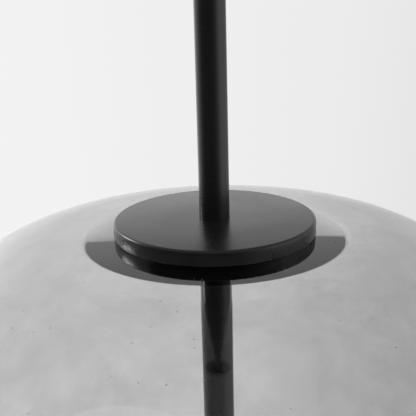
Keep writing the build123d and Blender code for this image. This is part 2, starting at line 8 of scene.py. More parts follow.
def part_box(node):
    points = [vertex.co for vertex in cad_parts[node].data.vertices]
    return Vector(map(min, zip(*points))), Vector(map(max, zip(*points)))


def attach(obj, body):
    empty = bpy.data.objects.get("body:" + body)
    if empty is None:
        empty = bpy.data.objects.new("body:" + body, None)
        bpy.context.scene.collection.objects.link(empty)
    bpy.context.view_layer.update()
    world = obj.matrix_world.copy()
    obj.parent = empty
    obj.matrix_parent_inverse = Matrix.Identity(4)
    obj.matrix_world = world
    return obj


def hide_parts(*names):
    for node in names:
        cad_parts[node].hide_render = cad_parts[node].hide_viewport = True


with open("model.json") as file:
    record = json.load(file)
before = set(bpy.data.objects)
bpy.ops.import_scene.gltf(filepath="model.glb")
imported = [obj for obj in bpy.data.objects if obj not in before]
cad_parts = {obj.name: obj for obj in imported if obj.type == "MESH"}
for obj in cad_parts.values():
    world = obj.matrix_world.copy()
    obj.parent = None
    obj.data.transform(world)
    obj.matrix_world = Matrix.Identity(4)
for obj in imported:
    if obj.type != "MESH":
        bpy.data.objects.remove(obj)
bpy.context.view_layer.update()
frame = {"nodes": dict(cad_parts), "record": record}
mm = 0.001
mergeGap = 0.002 * mm  # points closer than this become one
ringGap = 0.01 * mm  # a point this close to a ring lies on it
bevelFrom = 40  # edges that turn more than this many degrees are rounded

# modelling helpers


def deselect():
    if bpy.context.object and bpy.context.object.mode != "OBJECT":
        bpy.ops.object.mode_set(mode="OBJECT")
    bpy.ops.object.select_all(action="DESELECT")


def pick(piece):
    deselect()
    piece.select_set(True)
    bpy.context.view_layer.objects.active = piece


def lathe(name, rings, segments, solid=False):
    # turns a piece from its (radius, level) rings: each is extruded up from the last and scaled to size
    deselect()
    radius, level = rings[0]
    fill = "NGON" if solid else "NOTHING"
    place = (0, 0, level)
    bpy.ops.mesh.primitive_circle_add(vertices=segments, radius=radius, fill_type=fill, location=place)
    piece = bpy.context.object
    piece.name = name
    piece.data.name = name
    bpy.ops.object.transform_apply(location=True, rotation=True, scale=True)
    bpy.ops.object.mode_set(mode="EDIT")
    bpy.ops.mesh.select_all(action="SELECT")
    bpy.ops.mesh.select_mode(type="FACE" if solid else "EDGE")
    # a solid piece ends at its last ring; any other runs on to its first ring and closes there
    ringsLeft = rings[1:] if solid else rings[1:] + rings[:1]
    for newRadius, newLevel in ringsLeft:
        bpy.ops.mesh.extrude_region_move(TRANSFORM_OT_translate={"value": (0, 0, newLevel - level)})
        if newRadius != radius:
            scale = newRadius / radius
            bpy.ops.transform.resize(value=(scale, scale, 1), center_override=(0, 0, newLevel))
        radius, level = newRadius, newLevel
    bpy.ops.mesh.select_all(action="SELECT")
    if not solid:
        bpy.ops.mesh.remove_doubles(threshold=mergeGap)
        bpy.ops.mesh.select_all(action="SELECT")
    bpy.ops.mesh.normals_make_consistent(inside=False)
    bpy.ops.object.mode_set(mode="OBJECT")
    return piece


def sleeveRings(outer, inner, low, high):
    return [(outer, low), (outer, high), (inner, high), (inner, low)]


def selectRing(piece, radius, level):
    # leaves the piece in edit mode with the edges of this one ring selected
    pick(piece)
    bpy.ops.object.mode_set(mode="EDIT")
    bpy.ops.mesh.select_mode(type="EDGE")
    bpy.ops.mesh.select_all(action="DESELECT")
    bpy.ops.object.mode_set(mode="OBJECT")
    for edge in piece.data.edges:
        ends = [piece.data.vertices[index].co for index in edge.vertices]
        misses = [max(abs(end.z - level), abs(end.xy.length - radius)) for end in ends]
        edge.select = max(misses) < ringGap
    bpy.ops.object.mode_set(mode="EDIT")


def bevelEdges(piece, width, steps):
    pick(piece)
    bevel = piece.modifiers.new("edges", "BEVEL")
    bevel.width = width
    bevel.segments = steps
    bevel.limit_method = "ANGLE"
    bevel.angle_limit = radians(bevelFrom)
    bpy.ops.object.modifier_apply(modifier=bevel.name)


def bore(piece, holes, faces=32):
    # cuts round holes, each given as the cutter's (centre, radius, length, turn)
    cutters = []
    for centre, radius, length, turn in holes:
        deselect()
        bpy.ops.mesh.primitive_cylinder_add(
            vertices=faces, radius=radius, depth=length, location=centre, rotation=turn
        )
        cutters.append(bpy.context.object)
    deselect()
    for cutter in cutters:
        cutter.select_set(True)
    bpy.context.view_layer.objects.active = cutters[0]
    if len(cutters) > 1:
        bpy.ops.object.join()
    cutter = bpy.context.object
    pick(piece)
    cut = piece.modifiers.new("holes", "BOOLEAN")
    cut.operation = "DIFFERENCE"
    cut.solver = "EXACT"
    cut.object = cutter
    bpy.ops.object.modifier_apply(modifier=cut.name)
    bpy.data.objects.remove(cutter)


def smooth(piece, angle=30):
    pick(piece)
    bpy.ops.object.shade_smooth_by_angle(angle=radians(angle))


# node helpers


def addNode(tree, kind, values=None, **settings):
    # each input's value is a fixed one or the output that feeds it
    node = tree.nodes.new(kind)
    for key, value in settings.items():
        setattr(node, key, value)
    for key, value in (values or {}).items():
        if isinstance(value, bpy.types.NodeSocket):
            tree.links.new(value, node.inputs[key])
        else:
            node.inputs[key].default_value = value
    return node


def addMaths(tree, operation, *values):
    return addNode(tree, "ShaderNodeMath", dict(enumerate(values)), operation=operation).outputs[0]


def addMix(tree, factor, first, second):
    # goes from the first colour to the second as the factor rises
    values = {"Factor": factor, "A": first, "B": second}
    return addNode(tree, "ShaderNodeMix", values, data_type="RGBA").outputs["Result"]


def addRange(tree, value, fromRange=(0.0, 1.0), toRange=(0.0, 1.0), curve="LINEAR"):
    # maps one range of values onto another and holds them inside it
    values = {
        "Value": value, "From Min": fromRange[0], "From Max": fromRange[1],
        "To Min": toRange[0], "To Max": toRange[1],
    }
    return addNode(tree, "ShaderNodeMapRange", values, interpolation_type=curve).outputs["Result"]


def addBump(tree, height, strength, depth):
    values = {"Height": height, "Strength": strength, "Distance": depth}
    return addNode(tree, "ShaderNodeBump", values).outputs["Normal"]


def gray(tone):
    return (tone, tone, tone, 1)


def newGroup(name, inputs, outputs):
    group = bpy.data.node_groups.new(name, "ShaderNodeTree")
    for label, kind, value in inputs:
        socket = group.interface.new_socket(label, in_out="INPUT", socket_type=kind)
        socket.default_value = value
    for label, kind in outputs:
        group.interface.new_socket(label, in_out="OUTPUT", socket_type=kind)
    return group, group.nodes.new("NodeGroupInput").outputs, group.nodes.new("NodeGroupOutput").inputs


# shared effects: grain and dust

grainPattern = {
    "grain": {"Detail": 3.0, "Roughness": 0.6}, "clouds": {"Detail": 4.0, "Roughness": 0.55},
    "cloudRange": (0.3, 0.7),
}


def makeGrainGroup():
    # fine grain for coated, moulded and cast faces: a tone mask, a roughness and a height
    group, given, result = newGroup(
        "fineGrain",
        [
            ("Grain Scale", "NodeSocketFloat", 1500.0), ("Cloud Scale", "NodeSocketFloat", 18.0),
            ("Rough Low", "NodeSocketFloat", 0.3), ("Rough High", "NodeSocketFloat", 0.4),
        ],
        [("Tone", "NodeSocketFloat"), ("Roughness", "NodeSocketFloat"), ("Height", "NodeSocketFloat")],
    )
    place = addNode(group, "ShaderNodeTexCoord").outputs["Object"]
    heights = {"Vector": place, "Scale": given["Grain Scale"], **grainPattern["grain"]}
    grain = addNode(group, "ShaderNodeTexNoise", heights).outputs["Fac"]
    tones = {"Vector": place, "Scale": given["Cloud Scale"], **grainPattern["clouds"]}
    clouds = addNode(group, "ShaderNodeTexNoise", tones).outputs["Fac"]
    rough = addRange(group, clouds, grainPattern["cloudRange"], (given["Rough Low"], given["Rough High"]))
    group.links.new(clouds, result["Tone"])
    group.links.new(rough, result["Roughness"])
    group.links.new(grain, result["Height"])
    return group


def makeDustGroup():
    # sparse specks of dust, as a mask: a small dot in the middle of a few cells
    group, given, result = newGroup(
        "dustSpecks",
        [
            ("Scale", "NodeSocketFloat", 400.0), ("Size", "NodeSocketFloat", 0.12),
            ("Amount", "NodeSocketFloat", 0.06),
        ],
        [("Mask", "NodeSocketFloat")],
    )
    place = addNode(group, "ShaderNodeTexCoord").outputs["Object"]
    cells = addNode(group, "ShaderNodeTexVoronoi", {"Vector": place, "Scale": given["Scale"]}, feature="F1")
    chance = addNode(group, "ShaderNodeSeparateColor", {"Color": cells.outputs["Color"]}).outputs["Red"]
    chosen = addMaths(group, "LESS_THAN", chance, given["Amount"])
    dot = addMaths(group, "LESS_THAN", cells.outputs["Distance"], given["Size"])
    group.links.new(addMaths(group, "MULTIPLY", chosen, dot), result["Mask"])
    return group


fineGrain = makeGrainGroup()
dustSpecks = makeDustGroup()


def addDust(tree, dust):
    values = dict(zip(("Scale", "Size", "Amount"), dust))
    return addNode(tree, "ShaderNodeGroup", values, node_tree=dustSpecks).outputs["Mask"]


# solid finishes

finishes = {
    # dark and light are the two tones, roughness its lowest and highest, dust its scale, size and amount
    "black_metal": {
        "dark": (0.0025, 0.0025, 0.0025), "light": (0.005, 0.005, 0.005), "roughness": (0.24, 0.32),
        "grainScale": 2400, "cloudScale": 30, "bump": 0.15, "bumpDepth": 0.05 * mm, "specular": 0.68,
        "dust": (420, 0.12, 0.012), "dustColor": (0.22, 0.22, 0.22),
    },
    "opal_diffuser": {
        "dark": (0.86, 0.86, 0.83), "light": (0.92, 0.92, 0.9), "roughness": (0.42, 0.5),
        "grainScale": 1800, "cloudScale": 12, "bump": 0.15, "bumpDepth": 0.04 * mm, "subsurface": 0.35,
    },
    "cast_iron": {
        "dark": (0.03, 0.03, 0.031), "light": (0.07, 0.069, 0.066), "roughness": (0.6, 0.8),
        "grainScale": 500, "cloudScale": 40, "bump": 0.7, "bumpDepth": 0.3 * mm,
    },
    "black_rubber": {
        "dark": (0.014, 0.014, 0.014), "light": (0.024, 0.024, 0.024), "roughness": (0.6, 0.75),
        "grainScale": 1300, "cloudScale": 60, "bump": 0.4, "bumpDepth": 0.1 * mm,
    },
    "zinc_steel": {
        "dark": (0.5, 0.5, 0.5), "light": (0.62, 0.62, 0.63), "roughness": (0.28, 0.42),
        "grainScale": 1500, "cloudScale": 120, "bump": 0.2, "bumpDepth": 0.05 * mm, "metallic": 1.0,
    },
    "aluminium": {
        "dark": (0.7, 0.7, 0.71), "light": (0.8, 0.8, 0.81), "roughness": (0.25, 0.36),
        "grainScale": 1800, "cloudScale": 60, "bump": 0.15, "bumpDepth": 0.05 * mm, "metallic": 1.0,
    },
    "brass": {
        "dark": (0.62, 0.46, 0.2), "light": (0.74, 0.57, 0.28), "roughness": (0.25, 0.38),
        "grainScale": 1800, "cloudScale": 120, "bump": 0.15, "bumpDepth": 0.05 * mm, "metallic": 1.0,
    },
    "circuit_board": {
        "dark": (0.76, 0.77, 0.75), "light": (0.86, 0.87, 0.85), "roughness": (0.35, 0.5),
        "grainScale": 2500, "cloudScale": 90, "bump": 0.1, "bumpDepth": 0.03 * mm,
    },
    "led_phosphor": {
        "dark": (0.85, 0.68, 0.22), "light": (0.93, 0.8, 0.36), "roughness": (0.35, 0.5),
        "grainScale": 3000, "cloudScale": 300, "bump": 0.1, "bumpDepth": 0.03 * mm,
    },
    "driver_plastic": {
        "dark": (0.7, 0.7, 0.68), "light": (0.8, 0.8, 0.78), "roughness": (0.45, 0.6),
        "grainScale": 1600, "cloudScale": 60, "bump": 0.3, "bumpDepth": 0.06 * mm,
    },
    "black_plastic": {
        "dark": (0.016, 0.016, 0.016), "light": (0.028, 0.028, 0.028), "roughness": (0.42, 0.55),
        "grainScale": 1600, "cloudScale": 60, "bump": 0.3, "bumpDepth": 0.06 * mm,
    },
    "cable_sheath": {
        "dark": (0.018, 0.018, 0.018), "light": (0.03, 0.03, 0.03), "roughness": (0.4, 0.5),
        "grainScale": 1400, "cloudScale": 80, "bump": 0.2, "bumpDepth": 0.06 * mm,
    },
}
softDepth = 10 * mm  # how far light spreads in a finish that has subsurface


def newMaterial(name):
    material = bpy.data.materials.new(name)
    material.use_nodes = True
    tree = material.node_tree
    tree.nodes.clear()
    output = addNode(tree, "ShaderNodeOutputMaterial")
    shader = addNode(tree, "ShaderNodeBsdfPrincipled")
    tree.links.new(shader.outputs["BSDF"], output.inputs["Surface"])
    return material, shader, output


def solidMaterial(name, look):
    # the common build of the solid finishes: two tones, uneven gloss, a fine bump and, on the coat, dust
    material, shader, _ = newMaterial(name)
    tree = material.node_tree
    values = {
        "Grain Scale": look["grainScale"], "Cloud Scale": look["cloudScale"],
        "Rough Low": look["roughness"][0], "Rough High": look["roughness"][1],
    }
    grain = addNode(tree, "ShaderNodeGroup", values, node_tree=fineGrain).outputs
    color = addMix(tree, grain["Tone"], (*look["dark"], 1), (*look["light"], 1))
    if "dust" in look:
        color = addMix(tree, addDust(tree, look["dust"]), color, (*look["dustColor"], 1))
    tree.links.new(color, shader.inputs["Base Color"])
    tree.links.new(grain["Roughness"], shader.inputs["Roughness"])
    bump = addBump(tree, grain["Height"], look["bump"], look["bumpDepth"])
    tree.links.new(bump, shader.inputs["Normal"])
    shader.inputs["Metallic"].default_value = look.get("metallic", 0.0)
    shader.inputs["Specular IOR Level"].default_value = look.get("specular", 0.5)
    shader.inputs["Subsurface Weight"].default_value = look.get("subsurface", 0.0)
    shader.inputs["Subsurface Scale"].default_value = softDepth
    shader.inputs["Subsurface Radius"].default_value = (1.0, 1.0, 1.0)
    return material


# smoked glass

smokedLook = {
    # clear and cloudy are the surface's two tones, and smoke is the glass's absorption per metre
    "clear": 1.0, "cloudy": 0.9, "cloudScale": 40.0, "clouds": {"Detail": 5.0, "Roughness": 0.6},
    "cloudRange": (0.35, 0.65), "smoke": 75.0, "ior": 1.5, "dust": (300, 0.12, 0.06), "dustRoughness": 0.7,
    "waveScale": 9.0, "waves": {"Detail": 2.0, "Roughness": 0.4}, "wave": 0.04, "waveDepth": 2 * mm,
}


def smokedMaterial(name, look):
    material, shader, output = newMaterial(name)
    tree = material.node_tree
    place = addNode(tree, "ShaderNodeTexCoord").outputs["Object"]
    cloudValues = {"Vector": place, "Scale": look["cloudScale"], **look["clouds"]}
    clouds = addNode(tree, "ShaderNodeTexNoise", cloudValues).outputs["Fac"]
    cloudMask = addRange(tree, clouds, look["cloudRange"])
    color = addMix(tree, cloudMask, gray(look["clear"]), gray(look["cloudy"]))
    tree.links.new(color, shader.inputs["Base Color"])
    waveValues = {"Vector": place, "Scale": look["waveScale"], **look["waves"]}
    waves = addNode(tree, "ShaderNodeTexNoise", waveValues).outputs["Fac"]
    tree.links.new(addBump(tree, waves, look["wave"], look["waveDepth"]), shader.inputs["Normal"])
    # the glass is smooth, and only its dust is matt
    matt = addRange(tree, addDust(tree, look["dust"]), toRange=(0.0, look["dustRoughness"]))
    tree.links.new(matt, shader.inputs["Roughness"])
    shader.inputs["Metallic"].default_value = 0.0
    shader.inputs["Transmission Weight"].default_value = 1.0
    shader.inputs["IOR"].default_value = look["ior"]
    # a mid gray absorbs half of what the density says
    smoke = addNode(tree, "ShaderNodeVolumeAbsorption", {"Color": gray(0.5), "Density": 2 * look["smoke"]})
    tree.links.new(smoke.outputs[0], output.inputs["Volume"])
    return material


materials = {slot: solidMaterial(slot, look) for slot, look in finishes.items()}
materials["smoked_glass"] = smokedMaterial("smoked_glass", smokedLook)
print("materials ready:", len(materials))

slotOf = {part["node"]: part["material_slot"] for part in frame["record"]["subparts"]}
for nodeName, cadPiece in frame["nodes"].items():
    for slot in cadPiece.material_slots:
        slot.material = materials[slotOf[nodeName]]

# dressing and measuring


def dress(piece, body, nodeName):
    # gives a finished piece its material and body, and hides the CAD node that it stands for
    piece.data.materials.clear()
    piece.data.materials.append(materials[slotOf[nodeName]])
    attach(piece, body)
    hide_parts(nodeName)


def turnPiece(name, body, nodeName, rings, size, holes=()):
    # a turned piece with rounded edges and perhaps round holes
    piece = lathe(name, rings, size["segments"])
    bevelEdges(piece, size["edge"], size["edgeSteps"])
    if holes:
        bore(piece, holes)
    smooth(piece)
    dress(piece, body, nodeName)


def span(nodeName):
    # outer radius, lowest and highest level of a turned node
    low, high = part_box(nodeName)
    return (high.x - low.x) / 2, low.z, high.z


stemRadius = span("upper_stem")[0]
capRadius, capLow, capTop = span("cap_disc")
collarGap = 0.05 * mm  # between the stem and the collars on it
# how a round hole's cutter is turned
upright = (0, 0, 0)
alongY = (pi / 2, 0, 0)

# smoked glass globe, whose one piece also stands for its thick collar

glass = {
    # the outer face, from the top: a nearly flat crown, a rounder shoulder and the belly
    "crownRadius": 1960 * mm, "crownReach": 83 * mm, "shoulderRadius": 78.5 * mm, "shoulderSlope": 23.4,
    "bellyRadius": 150 * mm,
    # the wall, the openings with the flat land round each, and the collar round the top one
    "wall": 3.5 * mm, "landWidth": 7 * mm, "topOpening": 40 * mm, "bottomOpening": 62 * mm,
    "collarReach": 67.2 * mm, "collarFillet": 12 * mm, "collarSlope": 16.0,
    "arcSteps": 26, "segments": 288, "smoothAngle": 20,
}
landRadius = glass["topOpening"] + glass["landWidth"]
landLevel = span("glass_collar")[2]
crownCentre = landLevel - sqrt(glass["crownRadius"] ** 2 - landRadius**2)

# where the three arcs meet: slopes in degrees, distances from the axis, and heights over the girth
crownSlope = degrees(asin(glass["crownReach"] / glass["crownRadius"]))
shoulderTurn = radians(glass["shoulderSlope"])
shoulderX = glass["crownReach"] - glass["shoulderRadius"] * sin(radians(crownSlope))
bellyX = shoulderX + (glass["shoulderRadius"] - glass["bellyRadius"]) * sin(shoulderTurn)
shoulderZ = (glass["bellyRadius"] - glass["shoulderRadius"]) * cos(shoulderTurn)
crownZ = shoulderZ + (glass["shoulderRadius"] - glass["crownRadius"]) * cos(radians(crownSlope))
girthLevel = crownCentre - crownZ


def arc(centreX, centreZ, radius, first, last):
    # rings along an arc, whose angles are in degrees from straight up
    rings = []
    for step in range(glass["arcSteps"] + 1):
        angle = radians(first + (last - first) * step / glass["arcSteps"])
        rings.append((centreX + radius * sin(angle), centreZ + radius * cos(angle)))
    return rings


def wallRings(depth, opening, up):
    # from the girth to the top opening (up 1) or the bottom one (up -1), this deep under the outer face
    crownRadius = glass["crownRadius"] - depth
    shoulderRadius = glass["shoulderRadius"] - depth
    belly = arc(bellyX, 0.0, glass["bellyRadius"] - depth, 90.0, glass["shoulderSlope"])
    shoulder = arc(shoulderX, shoulderZ, shoulderRadius, glass["shoulderSlope"], crownSlope)
    crown = arc(0.0, crownZ, crownRadius, crownSlope, degrees(asin(opening / crownRadius)))
    return [(radius, girthLevel + up * height) for radius, height in belly[:-1] + shoulder[:-1] + crown]


def collarRings():
    # the wall thickens towards the top opening: a soft hollow round, then a straight slope
    innerRadius = glass["crownRadius"] - glass["wall"]
    filletReach = innerRadius - glass["collarFillet"]
    first = degrees(asin(glass["collarReach"] / innerRadius))
    centreX = filletReach * sin(radians(first))
    centreZ = crownCentre + filletReach * cos(radians(first))
    fillet = arc(centreX, centreZ, glass["collarFillet"], first, -glass["collarSlope"])[1:]
    slopeRadius, slopeLevel = fillet[-1]
    drop = (slopeRadius - glass["topOpening"]) * tan(radians(glass["collarSlope"]))
    return fillet + [(glass["topOpening"], slopeLevel - drop)]


def globeRings():
    # once round the glass: up the outside, through the top opening, down the inside and back to the girth
    outerTop = wallRings(0.0, landRadius, 1)
    innerTop = wallRings(glass["wall"], glass["collarReach"], 1)
    innerLow = wallRings(glass["wall"], glass["bottomOpening"], -1)
    outerLow = wallRings(0.0, glass["bottomOpening"] + glass["landWidth"], -1)
    topLip = [(glass["topOpening"], landLevel)]
    bottomLip = [(glass["bottomOpening"], outerLow[-1][1])]
    inside = collarRings()[::-1] + innerTop[::-1] + innerLow[1:]
    return outerTop + topLip + inside + bottomLip + outerLow[:0:-1]


def glassTop(distance):
    # level of the crown's outer face at this distance from the axis
    return crownCentre + sqrt(glass["crownRadius"] ** 2 - distance**2)


globe = lathe("smokedGlobe", globeRings(), glass["segments"])
smooth(globe, glass["smoothAngle"])
dress(globe, "globe", "glass_globe")
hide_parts("glass_collar")
print("globe modelled:", len(globe.data.vertices), "vertices")

# cap disc, which lies on the glass with its lip

cap = {
    # edge and foot round the upper and lower edge; the foot's middle ring lies at the share footBend
    "thick": 7 * mm, "edge": 1.4 * mm, "edgeSteps": 6, "foot": 0.5 * mm, "footBend": 0.3,
    "seatGap": 0.02 * mm, "lip": 2 * mm, "recess": 3 * mm, "boreGap": 0.08 * mm, "bushRadius": 13 * mm,
    "bushDepth": 9 * mm, "spigotOuter": 39 * mm, "spigotInner": 36.5 * mm, "segments": 256,
    "smoothAngle": 35,
}


def makeCapDisc():
    boreRadius = stemRadius + cap["boreGap"]
    lipRadius = capRadius - cap["lip"]
    footLevel = glassTop(capRadius) + cap["seatGap"]
    footBend = cap["footBend"] * cap["foot"]
    recessFloor = capTop - cap["thick"] + cap["recess"]
    bushLow = recessFloor - cap["bushDepth"]
    rings = [
        (lipRadius, glassTop(lipRadius) + cap["seatGap"]),
        (capRadius - cap["foot"], footLevel), (capRadius - footBend, footLevel + footBend),
        (capRadius, footLevel + cap["foot"]), (capRadius, capTop),
        (boreRadius, capTop), (boreRadius, bushLow),
        (cap["bushRadius"], bushLow), (cap["bushRadius"], recessFloor),
        (cap["spigotInner"], recessFloor), (cap["spigotInner"], capLow),
        (cap["spigotOuter"], capLow), (cap["spigotOuter"], recessFloor),
        (lipRadius, recessFloor),
    ]
    capDisc = lathe("capDisc", rings, cap["segments"])
    selectRing(capDisc, capRadius, capTop)
    bpy.ops.mesh.bevel(offset=cap["edge"], segments=cap["edgeSteps"], affect="EDGES")
    bpy.ops.object.mode_set(mode="OBJECT")
    smooth(capDisc, cap["smoothAngle"])
    dress(capDisc, "cap", "cap_disc")


makeCapDisc()

# stem, in three lengths of tube

stem = {"bore": 6 * mm, "segments": 96}
stemTubes = {"lower_stem": "lowerTube", "middle_stem": "middleTube", "upper_stem": "upperTube"}
for nodeName, pieceName in stemTubes.items():
    tubeRadius, tubeLow, tubeHigh = span(nodeName)
    tube = lathe(pieceName, sleeveRings(tubeRadius, stem["bore"], tubeLow, tubeHigh), stem["segments"])
    smooth(tube)
    dress(tube, "stand", nodeName)
print("cap and stem modelled")

# base pad

pad = {"edge": 0.6 * mm, "segments": 256}


def makeBasePad():
    radius, low, high = span("base_pad")
    rings = [(radius - pad["edge"], low), (radius, low + pad["edge"]), (radius, high)]
    basePad = lathe("basePad", rings, pad["segments"], solid=True)
    smooth(basePad)
    dress(basePad, "stand", "base_pad")


makeBasePad()

# base cover, with the hole for the cable inlet at the back

cover = {
    # inletCut is the length of the hole's cutter
    "skin": 2 * mm, "edge": 0.7 * mm, "edgeSteps": 4, "boreGap": 0.3 * mm,
    "inletRadius": 5.6 * mm, "inletCut": 14 * mm, "segments": 256,
}


def makeBaseCover():
    radius, low, high = span("base_cover")
    inner = radius - cover["skin"]
    under = high - cover["skin"]
    boreRadius = stemRadius + cover["boreGap"]
    rings = [
        (radius, low), (radius, high), (boreRadius, high),
        (boreRadius, under), (inner, under), (inner, low),
    ]
    inletLow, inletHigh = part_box("cable_inlet")
    inlet = (0, radius, (inletLow.z + inletHigh.z) / 2)
    holes = [(inlet, cover["inletRadius"], cover["inletCut"], alongY)]
    turnPiece("baseCover", "stand", "base_cover", rings, cover, holes)


makeBaseCover()

# foot collar

footCollar = {"edge": 0.8 * mm, "edgeSteps": 4, "segments": 96}


def makeFootCollar():
    radius, low, high = span("foot_collar")
    rings = sleeveRings(radius, stemRadius + collarGap, low, high)
    turnPiece("footCollar", "stand", "foot_collar", rings, footCollar)


makeFootCollar()
print("base modelled")

# seat plate, with a spigot in the glass's bottom opening and recesses for its screws' heads

seatPlate = {
    "thick": 6 * mm, "spigot": 60.5 * mm, "bore": 8.05 * mm, "edge": 0.8 * mm, "edgeSteps": 4,
    "screws": 3, "screwCircle": 32 * mm, "headRadius": 4.8 * mm, "headDepth": 2.6 * mm, "segments": 192,
}


def makeSeatPlate():
    radius, low, high = span("seat_plate")
    ledge = low + seatPlate["thick"]
    rings = [
        (radius, low), (radius, ledge), (seatPlate["spigot"], ledge), (seatPlate["spigot"], high),
        (seatPlate["bore"], high), (seatPlate["bore"], low),
    ]
    heads = []
    for index in range(seatPlate["screws"]):
        # the first screw is at the front
        angle = 2 * pi * index / seatPlate["screws"] - pi / 2
        centre = (seatPlate["screwCircle"] * cos(angle), seatPlate["screwCircle"] * sin(angle), low)
        heads.append((centre, seatPlate["headRadius"], 2 * seatPlate["headDepth"], upright))
    turnPiece("seatPlate", "stand", "seat_plate", rings, seatPlate, heads)


makeSeatPlate()

# seat collar, with the hole for its grub screw at the back

seatCollar = {
    # its bore is wider above the step; grubCut is the length of the hole's cutter
    "step": 9 * mm, "edge": 0.6 * mm, "edgeSteps": 4, "grubRadius": 2.55 * mm, "grubCut": 10 * mm,
    "segments": 128,
}


def makeSeatCollar():
    radius, low, high = span("seat_collar")
    grip = stemRadius + collarGap
    step = low + seatCollar["step"]
    wide = seatPlate["bore"]
    rings = [(radius, low), (radius, high), (wide, high), (wide, step), (grip, step), (grip, low)]
    grubLow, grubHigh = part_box("collar_grub")
    grub = (0, radius, (grubLow.z + grubHigh.z) / 2)
    holes = [(grub, seatCollar["grubRadius"], seatCollar["grubCut"], alongY)]
    turnPiece("seatCollar", "stand", "seat_collar", rings, seatCollar, holes)


makeSeatCollar()

# diffuser

diffuser = {"wall": 2.5 * mm, "edge": 0.5 * mm, "edgeSteps": 3, "segments": 160}
diffuserInner = span("diffuser")[0] - diffuser["wall"]


def makeDiffuser():
    radius, low, high = span("diffuser")
    turnPiece("diffuser", "stand", "diffuser", sleeveRings(radius, diffuserInner, low, high), diffuser)


makeDiffuser()

# diffuser's lid, with a ring that reaches into the diffuser

lid = {
    "lip": 3 * mm, "bore": 8.05 * mm, "ringGap": 0.3 * mm, "ringWall": 4.2 * mm, "edge": 0.5 * mm,
    "edgeSteps": 3, "segments": 160,
}


def makeDiffuserLid():
    radius, low, high = span("diffuser_cap")
    under = low + lid["lip"]
    ringOuter = diffuserInner - lid["ringGap"]
    ringInner = ringOuter - lid["ringWall"]
    rings = [
        (radius, under), (radius, high), (lid["bore"], high), (lid["bore"], under),
        (ringInner, under), (ringInner, low), (ringOuter, low), (ringOuter, under),
    ]
    turnPiece("diffuserLid", "stand", "diffuser_cap", rings, lid)


makeDiffuserLid()
print("seat and light engine modelled")

# dimmer knob, with fine flutes round its grip and a sunk dot on its top

knob = {
    # dotReach is the dot's place as a share of the knob's radius
    "edge": 1.4 * mm, "bore": 7.05 * mm, "boreDepth": 11 * mm, "flutes": 150, "fluteDepth": 0.35 * mm,
    "dotRadius": 1.5 * mm, "dotDepth": 0.5 * mm, "dotReach": 0.8, "smoothAngle": 25,
}


def makeKnob():
    radius, low, high = span("dimmer_knob")
    edge = knob["edge"]
    rings = [
        (knob["bore"], low + knob["boreDepth"]), (knob["bore"], low), (radius - edge, low),
        (radius, low + edge), (radius, high - edge), (radius - edge, high),
    ]
    dimmerKnob = lathe("dimmerKnob", rings, 2 * knob["flutes"], solid=True)
    for vertex in dimmerKnob.data.vertices:
        # every other line of the grip moves in, which leaves straight flutes
        line = round(Vector((1, 0)).angle_signed(vertex.co.xy, 0) / (pi / knob["flutes"]))
        if vertex.co.xy.length > radius - ringGap and line % 2:
            vertex.co.xy *= 1 - knob["fluteDepth"] / radius
    dot = (0, -knob["dotReach"] * radius, high)
    bore(dimmerKnob, [(dot, knob["dotRadius"], 2 * knob["dotDepth"], upright)])
    smooth(dimmerKnob, knob["smoothAngle"])
    dress(dimmerKnob, "knob", "dimmer_knob")


makeKnob()
print("knob modelled")

# camera

view = {
    # its place from the middle of the cap's top, in cap radii, and its turns in degrees
    "fromCap": Vector((-0.0774, -7.5394, 2.4150)), "yaw": 0.11, "pitch": 17.13, "roll": -1.48,
    # focal length and picture width in pixels, sensor width in millimetres, and near and far limits
    "focal": 797.9, "image": 416, "sensor": 36.0, "clip": (0.01, 200),
}


def placeCamera():
    capCentre = Vector((0, 0, capTop))
    yaw, pitch, roll = (radians(view[key]) for key in ("yaw", "pitch", "roll"))
    forward = Vector((sin(yaw) * cos(pitch), cos(yaw) * cos(pitch), -sin(pitch)))
    right = Vector((cos(yaw), -sin(yaw), 0))
    up = right.cross(forward)
    turnedRight = cos(roll) * right + sin(roll) * up
    turnedUp = cos(roll) * up - sin(roll) * right
    axes = Matrix((turnedRight, turnedUp, -forward)).transposed().to_4x4()
    deselect()
    bpy.ops.object.camera_add()
    camera = bpy.context.object
    camera.name = "camera"
    camera.matrix_world = Matrix.Translation(capCentre + view["fromCap"] * capRadius) @ axes
    camera.data.sensor_width = view["sensor"]
    camera.data.lens = view["sensor"] * view["focal"] / view["image"]
    camera.data.clip_start, camera.data.clip_end = view["clip"]
    bpy.context.scene.camera = camera


placeCamera()

# studio: a pale round room with a soft sun and a softbox, whose tones hold painted shade and painted
# reflections

studio = {
    # tones round the lamp as the camera sees them, by the turn in degrees from its side (+X is 90): a pale
    # backdrop with painted shade that darkens it towards the camera and to the right
    "backdropAndShade": (
        (-180, 0.86), (-166, 0.89), (-150, 0.9), (-110, 0.88), (-60, 0.75), (0, 0.6), (60, 0.5), (110, 0.5),
        (140, 0.62), (160, 0.78), (172, 0.84), (180, 0.86),
    ),
    # and as they show in and through the glass and on glossy coats: painted reflections, tones that only
    # reflections see, set to paint the highlights and dark bands on the stem and the cap's rim
    "paintedReflection": (
        (-180, 1.12), (-164, 1.12), (-148, 1.45), (-128, 0.98), (-108, 0.78), (-88, 0.3), (-68, 0.09),
        (-20, 0.07), (10, 0.085), (34, 0.19), (54, 0.66), (74, 0.95), (100, 0.73), (134, 0.48), (160, 0.8),
        (180, 1.12),
    ),
    # painted reflection tones fade to the ceiling's between these two heights of a direction (0 level, 1
    # straight up)
    "ceiling": 0.3, "ceilingFrom": (0.08, 0.8),
    # the floor is part lit paint and part glow: floorGlow is the glow's share within the first distance
    # of floorFade and past the second
    "floorRadius": 60.0, "floorSegments": 96, "floorGlow": (0.6, 1.0), "floorFade": (0.7, 2.4),
    "floorColor": 0.82, "ambient": 0.62,
}
sunlight = {"strength": 1.2, "angle": 50.0, "turn": (38, 0, -42), "place": (-2, -2, 3)}
